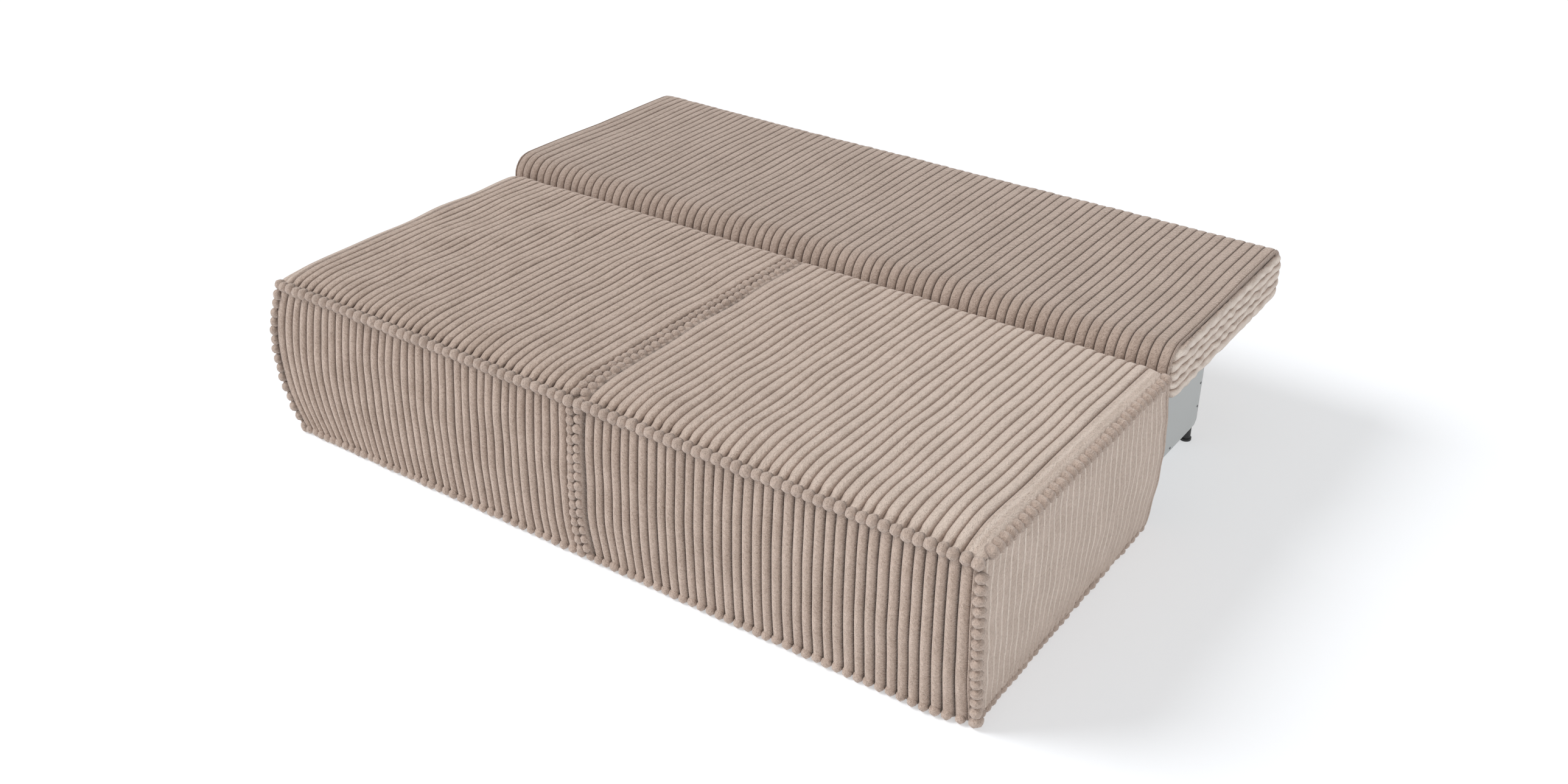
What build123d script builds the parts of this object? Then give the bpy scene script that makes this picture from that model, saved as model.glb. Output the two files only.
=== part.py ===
from build123d import *
import os
from math import atan2, cos, degrees, hypot, radians, sin

# Storage sofa bed in its bed pose. Origin on the floor under the middle of the
# whole piece. +X runs along the width, -Y is the front, +Z is up.
# All lengths are in millimetres, and y is first counted from the seat's front.

# Overall and upholstery sizes
overall_width = 2000.0
seat_depth = 840.0
bead_height = 400.0
crown_rise = 30.0
module_crown_rise = 36.0
front_bulge = 18.0
hem_flare = 12.0
side_tuck = 20.0
side_belly = 10.0
hem_height = 2.0
cover_thickness = 10.0
seat_rear_rounding = 40.0
seat_rear_drop = 14.0
module_gap = 0.6
front_cover_depth = 50.0

# Back cushion, lying flat behind the seat
back_gap = 4.0
back_depth = 673.0
back_end_inset = 8.0
back_thickness = 130.0
back_underside = 327.0
back_rounding = 56.0
back_crown = 4.0
back_end_bulge = 7.0

# Boards and rails
panel_thickness = 18.0
rest_gap = 0.3
board_floor_gap = 12.0
side_board_gap = 8.0
front_board_y = 30.0
carcass_rear_gap = 12.0
back_rail_height = 48.0
back_rail_width = 42.0
back_board_thickness = 12.0
board_edge_gap = 2.0
deck_rail_height = 40.0
deck_rail_width = 40.0
glide_thickness = 4.0
glide_length = 60.0
glide_pitch = 165.0
spring_wire_radius = 2.0
spring_clearance = 1.0
spring_count = 10
spring_step = 36.0
spring_half_swing = 30.0
spring_bend = 12.0
spring_end_inset = 14.0

# Storage box that stays in place
box_side_inset = 70.0
box_overlap = 290.0
box_reach = 425.0
foot_height = 45.0
foot_radius = 15.0
foot_inset = 16.0
foot_collar = 6.0
foot_collar_rim = 3.0
front_panel_drop = 62.0
rear_chamfer = 12.0
screw_head_radius = 3.0
screw_head_height = 1.2

# Wheels under the seat's front board
wheel_radius = 28.0
wheel_width = 22.0
wheel_end_inset = 300.0
wheel_setback = 85.0
hub_radius = 12.0
hub_length = 26.0
axle_radius = 4.0
running_clearance = 0.05
bracket_sheet = 2.5
bracket_reach = 14.0
bracket_drop = 12.0
bracket_rise = 44.0
wheel_side_gap = 1.5

# Telescopic runners between box and seat
runner_height = 40.0
runner_thickness = 9.0
runner_gap = 0.6
runner_wall = 2.0
runner_top_drop = 13.0
seat_travel = 430.0
travel_gap = 5.0
runner_front_gap = 12.0
hanger_length = 40.0
hanger_inset = 30.0

# Swing arms and their pivots
arm_box_inset = 107.0
arm_pivot_z = 82.0
back_pivot_reach = 40.0
back_pivot_z = 300.0
arm_thickness = 8.0
arm_half_height = 9.0
arm_eye_radius = 15.0
arm_root_radius = 17.0
tube_radius = 11.0
tube_wall = 2.0
arm_runner_gap = 7.4
arm_ear_gap = 2.0
arm_rail_gap = 8.0
ear_thickness = 4.0
ear_block_length = 34.0
ear_half_height = 13.0
rail_setback = 45.0
pivot_pin_radius = 5.0
pin_head_radius = 9.0
pin_head_height = 3.0
notch_clearance = 10.0
notch_height = 48.0
bearing_boss_radius = 17.0
bearing_flange = 4.0
bearing_flange_size = 60.0
bearing_floor_gap = 1.0
overrun = 60.0

# Places worked out from the sizes above
half_width = overall_width / 2
box_half = half_width - box_side_inset
box_inner = box_half - panel_thickness
rail_underside = back_underside - back_rail_height
box_top = rail_underside - rest_gap
floor_top = foot_height + panel_thickness
deck_underside = box_top + rest_gap + glide_thickness
deck_top = deck_underside + deck_rail_height
carcass_top = deck_top + 2 * spring_wire_radius + spring_clearance
side_board_inner = box_half + side_board_gap
side_board_outer = side_board_inner + panel_thickness
front_board_back = front_board_y + panel_thickness
carcass_rear = seat_depth - carcass_rear_gap
box_front_y = seat_depth - box_overlap
box_rear_y = seat_depth + box_reach
arm_pivot_y = box_rear_y - arm_box_inset
back_pivot_y = seat_depth + back_pivot_reach
wheel_place = half_width - wheel_end_inset
seat_rear_top = bead_height + crown_rise - seat_rear_drop
back_front_y = seat_depth + back_gap
back_rear_y = back_front_y + back_depth
back_half = half_width - back_end_inset
back_top = back_underside + back_thickness
back_rail_front = back_pivot_y + rail_setback
back_rail_rear = back_rear_y - back_rounding
runner_top = deck_underside - runner_top_drop
runner_bottom = runner_top - runner_height
outer_x = box_inner - runner_thickness
middle_x = outer_x - runner_gap - runner_thickness
inner_x = middle_x - runner_gap - runner_thickness
side_rail_inner = inner_x + runner_thickness
arm_outer_x = inner_x - arm_runner_gap
arm_inner_x = arm_outer_x - arm_thickness
ear_x = arm_outer_x + arm_ear_gap
ear_outer = ear_x + ear_thickness
runner_front = box_front_y + runner_front_gap
slide_rear = box_rear_y - panel_thickness - seat_travel - travel_gap
arm_length = hypot(back_pivot_y - arm_pivot_y, back_pivot_z - arm_pivot_z)
arm_angle = degrees(atan2(back_pivot_z - arm_pivot_z, back_pivot_y - arm_pivot_y))

os.makedirs("parts", exist_ok=True)


def block(x0, x1, y0, y1, z0, z1):
    """Box between two corners."""
    middle = Pos((x0 + x1) / 2, (y0 + y1) / 2, (z0 + z1) / 2)
    return middle * Box(x1 - x0, y1 - y0, z1 - z0)


def rod(radius, x0, x1, y, z):
    """Round bar along X."""
    return Pos((x0 + x1) / 2, y, z) * Rot(0, 90, 0) * Cylinder(radius, x1 - x0)


def along_width(outline, x0, x1):
    """Solid with one side view, from x0 to x1."""
    return Pos(x0, 0, 0) * extrude(Plane.YZ * outline, amount=x1 - x0, dir=(1, 0, 0))


def along_depth(outline, y0, y1):
    """Solid with one front view, from y0 to y1."""
    return Pos(0, y0, 0) * extrude(Plane.XZ * outline, amount=y1 - y0, dir=(0, 1, 0))


def seat_side_view(inset):
    """Seat outline from the side: flared and bulged front, crown and round rear."""
    belly_share = 0.45
    crown_share = 0.45
    half_turn = radians(45)
    radius = seat_rear_rounding
    floor_z = hem_height - inset
    centre_y = seat_depth - radius - inset
    centre_z = seat_rear_top - radius - inset
    hem = (inset - hem_flare, floor_z)
    belly = (inset - front_bulge, bead_height * belly_share)
    bead = (inset, bead_height - inset)
    crown = (seat_depth * crown_share, bead_height + crown_rise - inset)
    top_rear = (centre_y, centre_z + radius)
    turn = (centre_y + radius * sin(half_turn), centre_z + radius * cos(half_turn))
    rear = (centre_y + radius, centre_z)
    foot = (centre_y + radius, floor_z)
    edges = [
        ThreePointArc(hem, belly, bead),
        ThreePointArc(bead, crown, top_rear),
        ThreePointArc(top_rear, turn, rear),
        Line(rear, foot),
        Line(foot, hem),
    ]
    return Face(Wire(edges))


def seat_front_view(inset):
    """One seat module from the front: crown between its seams, tucked side."""
    belly_share = 0.55
    floor_z = hem_height - inset
    seam_x = module_gap / 2 - inset
    seam = (seam_x, bead_height - inset)
    crown = (half_width / 2, bead_height + module_crown_rise - inset)
    bead = (half_width - inset, bead_height - inset)
    belly = (half_width + side_belly - inset, bead_height * belly_share)
    hem = (half_width - side_tuck - inset, floor_z)
    foot = (seam_x, floor_z)
    edges = [
        ThreePointArc(seam, crown, bead),
        ThreePointArc(bead, belly, hem),
        Line(hem, foot),
        Line(foot, seam),
    ]
    return Face(Wire(edges))


def seat_module(inset):
    """Right seat module, as deep as its inset under the cover's outer face."""
    length = along_width(seat_side_view(inset), -overrun, half_width + overrun)
    across = along_depth(seat_front_view(inset), -overrun, seat_depth + overrun)
    return length & across


def carcass_envelope():
    """Room of the seat's boards, rails and springs, open to floor and rear."""
    reach = seat_depth + overrun
    return block(-overrun, side_board_outer, front_board_y, reach, -overrun, carcass_top)


def right_half(z0, z1, y0=-overrun, y1=seat_depth + overrun, x0=module_gap / 2):
    """Cutting block on the right of the middle seam."""
    return block(x0, half_width + overrun, y0, y1, z0, z1)


def make_seat_covers():
    """Ribbed cloth cover of a module, as its top, front, side and rear panels."""
    shell = seat_module(0) - seat_module(cover_thickness) - carcass_envelope()
    seam_z = bead_height - cover_thickness
    side_x = half_width - side_tuck - cover_thickness
    write_pair("seat_top_cover", shell & right_half(seam_z, bead_height + crown_rise + overrun))
    below = shell & right_half(-overrun, seam_z)
    write_pair("seat_front_cover", below & right_half(-overrun, seam_z, y1=front_cover_depth))
    behind = below & right_half(-overrun, seam_z, y0=front_cover_depth)
    write_pair("seat_side_cover", behind & right_half(-overrun, seam_z, x0=side_x))
    rear = block(module_gap / 2, side_x, front_cover_depth, seat_depth + overrun, -overrun, seam_z)
    write_pair("seat_rear_cover", behind & rear)


def make_seat_foam():
    """Foam of a module: seat pad on the springs, and pads on front and side."""
    filling = (seat_module(cover_thickness) & right_half(hem_height, bead_height + crown_rise))
    filling = filling - carcass_envelope()
    write_pair("seat_foam", filling & right_half(carcass_top, bead_height + crown_rise))
    below = filling & right_half(hem_height, carcass_top)
    write_pair("seat_front_pad", below & right_half(hem_height, carcass_top, y1=front_board_y))
    write_pair("seat_side_pad", below & right_half(hem_height, carcass_top, y0=front_board_y))


def make_seat_boards():
    """Chipboard front and sides that carry the seat's deck."""
    top = deck_top
    write("seat_front_board", block(-side_board_outer, side_board_outer, front_board_y, front_board_back,
                                    board_floor_gap, top))
    write_pair("seat_side_board", block(side_board_inner, side_board_outer, front_board_back, carcass_rear,
                                        board_floor_gap, top))


def make_deck_rails():
    """Timber rails round the springs, with nylon glides that run on the box."""
    low, high = deck_underside, deck_top
    front = front_board_back + deck_rail_width
    rear = carcass_rear - deck_rail_width
    middle = deck_rail_width / 2
    write("deck_front_rail", block(-side_rail_inner, side_rail_inner, front_board_back, front, low, high))
    write("deck_rear_rail", block(-side_rail_inner, side_rail_inner, rear, carcass_rear, low, high))
    write("deck_centre_rail", block(-middle, middle, front, rear, low, high))
    write_pair("deck_side_rail", block(side_rail_inner, side_board_inner, front_board_back, carcass_rear,
                                       low, high))
    glides = []
    for end in (carcass_rear, carcass_rear - glide_pitch):
        for x0, x1 in ((box_inner, box_half), (-box_half, -box_inner)):
            glides.append(block(x0, x1, end - glide_length, end, low - glide_thickness, low))
    write("deck_glides", Compound(children=glides))


def spring_path(x, y0, y1, z):
    """Zigzag centre line of one flat spring, with straight ends."""
    count = int((y1 - y0) / spring_step)
    step = (y1 - y0) / count
    points = [(x, y0, z)]
    for turn in range(1, count):
        side = spring_half_swing if turn % 2 else -spring_half_swing
        points.append((x + side, y0 + (turn - 1 / 2) * step, z))
        points.append((x + side, y0 + (turn + 1 / 2) * step, z))
    points.append((x, y1, z))
    return FilletPolyline(points, radius=spring_bend)


def make_springs():
    """Zigzag wire springs stapled over the deck's front and rear rails."""
    y0 = front_board_back + spring_end_inset
    y1 = carcass_rear - spring_end_inset
    pitch = 2 * side_rail_inner / spring_count
    springs = []
    for number in range(spring_count):
        x = -side_rail_inner + (number + 1 / 2) * pitch
        path = spring_path(x, y0, y1, deck_top + spring_wire_radius)
        section = Plane(origin=path @ 0, z_dir=path % 0) * Circle(spring_wire_radius)
        springs.append(sweep(section, path=path))
    write("seat_springs", Compound(children=springs))


def make_wheels():
    """Front wheels in pressed steel forks on the back of the front board."""
    half = wheel_width / 2
    gap = hub_length / 2 + wheel_side_gap
    outer = gap + bracket_sheet
    tyre = rod(wheel_radius, wheel_place - half, wheel_place + half, wheel_setback, wheel_radius)
    hub = rod(hub_radius, wheel_place - hub_length / 2, wheel_place + hub_length / 2,
              wheel_setback, wheel_radius)
    bore = rod(axle_radius + running_clearance, wheel_place - overrun, wheel_place + overrun,
               wheel_setback, wheel_radius)
    write_pair("wheel", tyre + hub - bore)
    reach = wheel_setback + bracket_reach
    low = wheel_radius - bracket_drop
    high = wheel_radius + bracket_rise
    fork = block(wheel_place - outer, wheel_place + outer, front_board_back, reach, low, high)
    room = block(wheel_place - gap, wheel_place + gap, front_board_back + bracket_sheet, reach + overrun,
                 low - overrun, high - bracket_sheet)
    hole = rod(axle_radius, wheel_place - overrun, wheel_place + overrun, wheel_setback, wheel_radius)
    write_pair("wheel_fork", fork - room - hole)
    write_pair("wheel_axle", rod(axle_radius, wheel_place - outer, wheel_place + outer,
                                 wheel_setback, wheel_radius))


def make_box_panels():
    """Grey coated chipboard box for bedding, with its screws showing outside."""
    corner = [
        (box_front_y, foot_height),
        (box_rear_y - rear_chamfer, foot_height),
        (box_rear_y, foot_height + rear_chamfer),
        (box_rear_y, box_top),
        (box_front_y, box_top),
    ]
    side = Face(Polyline(corner, close=True))
    write_pair("box_side", along_width(side, box_inner, box_half))
    front_back = box_front_y + panel_thickness
    rear_front = box_rear_y - panel_thickness
    write("box_front_panel", block(-box_inner, box_inner, box_front_y, front_back, foot_height,
                                   box_top - front_panel_drop))
    write("box_floor_panel", block(-box_inner, box_inner, front_back, rear_front, foot_height, floor_top))
    rear = block(-box_inner, box_inner, rear_front, box_rear_y, foot_height + rear_chamfer, box_top)
    for x0, x1 in ((arm_inner_x, arm_outer_x), (-arm_outer_x, -arm_inner_x)):
        rear -= block(x0 - notch_clearance, x1 + notch_clearance, rear_front - overrun,
                      box_rear_y + overrun, floor_top + notch_height, box_top + overrun)
    write("box_rear_panel", rear)


def screw_places():
    """Side view places of the screw heads: rear column, bottom row, runner."""
    rear_y = box_rear_y - panel_thickness / 2
    low = foot_height + panel_thickness / 2
    span = box_top - low
    rear_shares = (0.2, 0.5, 0.8)
    bottom_shares = (0.1, 0.32, 0.55, 0.78)
    runner_shares = (0.12, 0.5, 0.88)
    depth = rear_y - box_front_y
    runner_z = (runner_top + runner_bottom) / 2
    places = [(rear_y, low + span * share) for share in rear_shares]
    places += [(box_front_y + depth * share, low) for share in bottom_shares]
    places += [(box_front_y + depth * share, runner_z) for share in runner_shares]
    return places


def make_box_fittings():
    """Six black feet under the box and the screw heads on its sides."""
    feet = []
    for x in (-box_half + foot_inset, 0, box_half - foot_inset):
        for y in (box_front_y + foot_inset, box_rear_y - foot_inset):
            stem = Pos(x, y, foot_height / 2) * Cylinder(foot_radius - foot_collar_rim, foot_height)
            collar = Pos(x, y, foot_collar / 2) * Cylinder(foot_radius, foot_collar)
            feet.append(stem + collar)
    write("box_feet", Compound(children=feet))
    heads = []
    for y, z in screw_places():
        heads.append(rod(screw_head_radius, box_half, box_half + screw_head_height, y, z))
        heads.append(rod(screw_head_radius, -box_half - screw_head_height, -box_half, y, z))
    write("panel_screws", Compound(children=heads))


def channel(x0, x1, y0, y1, open_side):
    """Runner member: a web with two flanges, open towards +X or -X."""
    member = block(x0, x1, y0, y1, runner_bottom, runner_top)
    low = runner_bottom + runner_wall
    high = runner_top - runner_wall
    if open_side > 0:
        return member - block(x0 + runner_wall, x1 + overrun, y0 - overrun, y1 + overrun, low, high)
    return member - block(x0 - overrun, x1 - runner_wall, y0 - overrun, y1 + overrun, low, high)


def make_runners():
    """Three-part runner each side: fixed on the box, carriage, hung on the deck."""
    rear = box_rear_y - panel_thickness - travel_gap
    write_pair("runner_outer", channel(outer_x, box_inner, runner_front, rear, -1))
    carriage_right = middle_x + runner_thickness
    write_pair("runner_carriage", channel(middle_x, carriage_right, runner_front, slide_rear, 1))
    inner = channel(inner_x, side_rail_inner, runner_front, slide_rear, 1)
    for y0 in (runner_front + hanger_inset, slide_rear - hanger_inset - hanger_length):
        inner += block(inner_x, side_rail_inner, y0, y0 + hanger_length, runner_top - runner_wall,
                       deck_top - hanger_inset / 2)
    write_pair("runner_inner", inner)


def make_arms():
    """Steel swing arms welded to a tube that turns in bearings on the box."""
    bar = Pos((arm_inner_x + arm_outer_x) / 2, (arm_pivot_y + back_pivot_y) / 2,
              (arm_pivot_z + back_pivot_z) / 2)
    bar = bar * Rot(arm_angle, 0, 0) * Box(arm_thickness, arm_length, 2 * arm_half_height)
    eye = rod(arm_eye_radius, arm_inner_x, arm_outer_x, back_pivot_y, back_pivot_z)
    root = rod(arm_root_radius, arm_inner_x, arm_outer_x, arm_pivot_y, arm_pivot_z)
    pin_hole = rod(pivot_pin_radius + running_clearance, arm_inner_x - overrun, arm_outer_x + overrun,
                   back_pivot_y, back_pivot_z)
    tube_hole = rod(tube_radius, arm_inner_x - overrun, arm_outer_x + overrun, arm_pivot_y, arm_pivot_z)
    write_pair("swing_arm", bar + eye + root - pin_hole - tube_hole)
    end = box_inner - rest_gap
    tube = rod(tube_radius, -end, end, arm_pivot_y, arm_pivot_z)
    bore = rod(tube_radius - tube_wall, -end - overrun, end + overrun, arm_pivot_y, arm_pivot_z)
    write("sync_tube", tube - bore)
    half = bearing_flange_size / 2
    low = floor_top + bearing_floor_gap
    flange = block(box_inner - bearing_flange, box_inner, arm_pivot_y - half, arm_pivot_y + half,
                   low, low + bearing_flange_size)
    boss = rod(bearing_boss_radius, arm_outer_x + arm_ear_gap, box_inner, arm_pivot_y, arm_pivot_z)
    hole = rod(tube_radius + running_clearance, arm_outer_x, box_inner + overrun, arm_pivot_y, arm_pivot_z)
    write_pair("arm_bearing", flange + boss - hole)


def make_back_hinges():
    """Hinge plates and pins that carry the back on the swing arms."""
    low = back_pivot_z - ear_half_height
    high = back_pivot_z + ear_half_height
    block_end = back_rail_front + ear_block_length
    plate = block(ear_x, ear_outer, back_pivot_y - ear_half_height, block_end, low, high)
    foot = block(ear_outer, side_rail_inner, back_rail_front, block_end, low, high)
    hole = rod(pivot_pin_radius, ear_x - overrun, ear_outer + overrun, back_pivot_y, back_pivot_z)
    write_pair("back_hinge_plate", plate + foot - hole)
    head_inner = arm_inner_x - arm_ear_gap / 2 - pin_head_height
    pin = rod(pivot_pin_radius, head_inner, ear_outer, back_pivot_y, back_pivot_z)
    head = rod(pin_head_radius, head_inner, head_inner + pin_head_height, back_pivot_y, back_pivot_z)
    write_pair("back_hinge_pin", pin + head)


def make_back_frame():
    """Timber rails under the back cushion, resting on the box's side panels."""
    low, high = rail_underside, back_underside
    front = back_rail_front + back_rail_width
    rear = back_rail_rear - back_rail_width
    inner = arm_inner_x - arm_rail_gap
    middle = back_rail_width / 2
    write_pair("back_side_rail", block(side_rail_inner, side_rail_inner + back_rail_width,
                                       back_rail_front, back_rail_rear, low, high))
    write("back_front_rail", block(-inner, inner, back_rail_front, front, low, high))
    write("back_rear_rail", block(-side_rail_inner, side_rail_inner, rear, back_rail_rear, low, high))
    write("back_centre_rail", block(-middle, middle, front, rear, low, high))


def back_side_view(inset):
    """Back cushion from the side: four rounded corners and a slight crown."""
    half_turn = radians(45)
    radius = back_rounding - inset
    y0, y1 = back_front_y + inset, back_rear_y - inset
    z0, z1 = back_underside + inset, back_top - inset
    cut = radius - radius * cos(half_turn)
    middle_y = (y0 + y1) / 2
    edges = [
        ThreePointArc((y0, z1 - radius), (y0 + cut, z1 - cut), (y0 + radius, z1)),
        ThreePointArc((y0 + radius, z1), (middle_y, z1 + back_crown), (y1 - radius, z1)),
        ThreePointArc((y1 - radius, z1), (y1 - cut, z1 - cut), (y1, z1 - radius)),
        Line((y1, z1 - radius), (y1, z0 + radius)),
        ThreePointArc((y1, z0 + radius), (y1 - cut, z0 + cut), (y1 - radius, z0)),
        Line((y1 - radius, z0), (y0 + radius, z0)),
        ThreePointArc((y0 + radius, z0), (y0 + cut, z0 + cut), (y0, z0 + radius)),
        Line((y0, z0 + radius), (y0, z1 - radius)),
    ]
    return Face(Wire(edges))


def back_front_view(inset):
    """Back cushion from the front: ends swell at half height."""
    end = back_half - inset
    drawn = end - back_end_bulge
    z0 = back_underside + inset - back_end_bulge
    z1 = back_top + back_crown - inset + back_end_bulge
    middle_z = (z0 + z1) / 2
    edges = [
        Line((-drawn, z0), (drawn, z0)),
        ThreePointArc((drawn, z0), (end, middle_z), (drawn, z1)),
        Line((drawn, z1), (-drawn, z1)),
        ThreePointArc((-drawn, z1), (-end, middle_z), (-drawn, z0)),
    ]
    return Face(Wire(edges))


def back_body(inset):
    """Back cushion, as deep as its inset under the cover's outer face."""
    length = along_width(back_side_view(inset), -half_width, half_width)
    across = along_depth(back_front_view(inset), back_front_y - overrun, back_rear_y + overrun)
    return length & across


def make_back_cushion():
    """Back cushion: ribbed cover round a foam block on a plywood board."""
    filling = back_body(cover_thickness)
    write("back_cover", back_body(0) - filling)
    low = back_underside + cover_thickness
    end = back_half - cover_thickness - back_end_bulge - board_edge_gap
    board = block(-end, end, back_front_y + back_rounding + board_edge_gap,
                  back_rear_y - back_rounding - board_edge_gap, low, low + back_board_thickness)
    write("back_board", board)
    write("back_foam", filling - board)


def write(name, shape):
    """Move a node from the seat's front to the part's origin and save it."""
    export_step(Pos(0, -origin_y, 0) * shape, f"parts/{name}.step")


def write_pair(name, right_shape):
    """Save a right-hand piece and its mirrored left-hand twin."""
    write(f"{name}_right", right_shape)
    write(f"{name}_left", mirror(right_shape, about=Plane.YZ))


front_reach = seat_side_view(0).bounding_box().min.X
origin_y = (back_rear_y + front_reach) / 2

make_seat_covers()
make_seat_foam()
make_seat_boards()
make_deck_rails()
make_springs()
make_wheels()
make_box_panels()
make_box_fittings()
make_runners()
make_arms()
make_back_hinges()
make_back_frame()
make_back_cushion()
print("origin from the seat's front", round(origin_y, 3))
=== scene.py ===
import bpy
import math
import numpy as np
from mathutils import Matrix, Vector


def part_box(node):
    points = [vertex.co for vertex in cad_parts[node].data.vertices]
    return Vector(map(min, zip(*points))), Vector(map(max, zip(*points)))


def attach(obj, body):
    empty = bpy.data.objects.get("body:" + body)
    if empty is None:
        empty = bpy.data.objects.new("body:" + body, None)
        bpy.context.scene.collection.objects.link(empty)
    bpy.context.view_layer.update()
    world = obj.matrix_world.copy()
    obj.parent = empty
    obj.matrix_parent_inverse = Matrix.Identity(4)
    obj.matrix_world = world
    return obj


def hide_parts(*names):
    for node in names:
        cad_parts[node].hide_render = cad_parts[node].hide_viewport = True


# Storage sofa bed in its bed pose. Metres, same frame as the solids: X is the
# width, -Y the front, Z up. The sections follow the object as it is put together.
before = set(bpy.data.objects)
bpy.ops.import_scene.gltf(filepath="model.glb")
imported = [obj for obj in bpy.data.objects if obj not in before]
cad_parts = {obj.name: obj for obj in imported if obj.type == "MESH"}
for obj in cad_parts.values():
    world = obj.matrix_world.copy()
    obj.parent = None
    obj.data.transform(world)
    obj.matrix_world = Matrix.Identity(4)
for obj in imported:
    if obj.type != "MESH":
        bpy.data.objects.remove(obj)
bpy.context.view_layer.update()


# Storage box. Chipboard panels coated in cool light grey melamine, with edge bands on
# their cut edges painted pale as a highlight; screwed together, and it stays in place.
MELAMINE = (180, 183, 182)
MELAMINE_SPECK = (171, 174, 174)
EDGE_BAND_HIGHLIGHT = (206, 206, 203)
BAND_MARGIN = 0.0002
SPECK_GRAIN = 900.0
COATING_GRAIN = 1400.0
COATING_RELIEF = 0.00006


def linear(colour):
    """8-bit sRGB colour as the linear RGBA of a socket: ((c + 0.055) / 1.055) to the power 2.4."""
    share = np.array(colour) / 255
    low = share / 12.92
    high = ((share + 0.055) / 1.055) ** 2.4
    return (*(float(v) for v in np.where(share <= 0.04045, low, high)), 1.0)


def new_group(name, inputs, outputs):
    """Empty node group with named sockets. Gives the group, its input node and its output node."""
    group = bpy.data.node_groups.new(name, "ShaderNodeTree")
    for label, kind, value in inputs:
        socket = group.interface.new_socket(label, in_out="INPUT", socket_type=kind)
        socket.default_value = value
    for label, kind in outputs:
        group.interface.new_socket(label, in_out="OUTPUT", socket_type=kind)
    return group, group.nodes.new("NodeGroupInput"), group.nodes.new("NodeGroupOutput")


def add_node(tree, kind, settings=None, values=None):
    """One node with its settings and the values of its sockets, by name or number."""
    node = tree.nodes.new(kind)
    for key, value in (settings or {}).items():
        setattr(node, key, value)
    for key, value in (values or {}).items():
        node.inputs[key].default_value = value
    return node


def add_math(tree, operation, first, second=None, third=None, clamp=False):
    """Math node on links or numbers. Gives its output."""
    node = add_node(tree, "ShaderNodeMath", {"operation": operation, "use_clamp": clamp})
    for place, value in enumerate((first, second, third)):
        if value is None:
            continue
        if isinstance(value, (int, float)):
            node.inputs[place].default_value = value
        else:
            tree.links.new(value, node.inputs[place])
    return node.outputs[0]


def add_mix(tree, factor, first, second):
    """Colour mix of two links or colours by a factor link. Gives its output."""
    node = add_node(tree, "ShaderNodeMix", {"data_type": "RGBA"})
    tree.links.new(factor, node.inputs["Factor"])
    for socket, value in ((node.inputs[6], first), (node.inputs[7], second)):
        if isinstance(value, tuple):
            socket.default_value = value
        else:
            tree.links.new(value, socket)
    return node.outputs[2]


def add_ramp(tree, value, low, high):
    """Share of a value between two bounds, held between 0 and 1."""
    node = add_node(tree, "ShaderNodeMapRange", {}, {"From Min": low, "From Max": high})
    tree.links.new(value, node.inputs["Value"])
    return node.outputs["Result"]


def build_grain():
    """Noise on object coordinates, stretched by Stretch, as a value from 0 to 1 about 0.5."""
    group, given, result = new_group("fine_grain", [
        ("Scale", "NodeSocketFloat", 100.0), ("Stretch", "NodeSocketVector", (1, 1, 1)),
        ("Detail", "NodeSocketFloat", 2.0)], [("Value", "NodeSocketFloat")])
    place = add_node(group, "ShaderNodeTexCoord")
    stretch = add_node(group, "ShaderNodeVectorMath", {"operation": "MULTIPLY"})
    noise = add_node(group, "ShaderNodeTexNoise", {}, {"Roughness": 0.55})
    links = group.links
    links.new(place.outputs["Object"], stretch.inputs[0])
    links.new(given.outputs["Stretch"], stretch.inputs[1])
    links.new(stretch.outputs[0], noise.inputs["Vector"])
    links.new(given.outputs["Scale"], noise.inputs["Scale"])
    links.new(given.outputs["Detail"], noise.inputs["Detail"])
    links.new(noise.outputs["Fac"], result.inputs["Value"])
    return group


GRAIN = build_grain()


def grain(tree, scale, stretch=(1, 1, 1), detail=2.0):
    """Grain group placed in a tree. Gives its value."""
    node = add_node(tree, "ShaderNodeGroup", {"node_tree": GRAIN},
                    {"Scale": scale, "Stretch": stretch, "Detail": detail})
    return node.outputs["Value"]


def new_material(name, sockets):
    """Principled material with constants on its own sockets. Gives it, its tree and its shader."""
    material = bpy.data.materials.new(name)
    material.use_nodes = True
    tree = material.node_tree
    shader = next(node for node in tree.nodes if node.type == "BSDF_PRINCIPLED")
    for key, value in sockets.items():
        shader.inputs[key].default_value = value
    return material, tree, shader


def add_bump(tree, shader, height, distance, strength=1.0):
    """Bump of a height link on a shader, in metres."""
    node = add_node(tree, "ShaderNodeBump", {}, {"Distance": distance, "Strength": strength})
    tree.links.new(height, node.inputs["Height"])
    tree.links.new(node.outputs["Normal"], shader.inputs["Normal"])


def paint(material, *names):
    """Give CAD nodes a material in every slot."""
    for name in names:
        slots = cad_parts[name].data.materials
        if not slots:
            slots.append(material)
        for number in range(len(slots)):
            slots[number] = material


def between(tree, value, low, high):
    """1 where a value lies between two bounds, else 0."""
    above = add_math(tree, "GREATER_THAN", value, low)
    below = add_math(tree, "LESS_THAN", value, high)
    return add_math(tree, "MULTIPLY", above, below)


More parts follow.
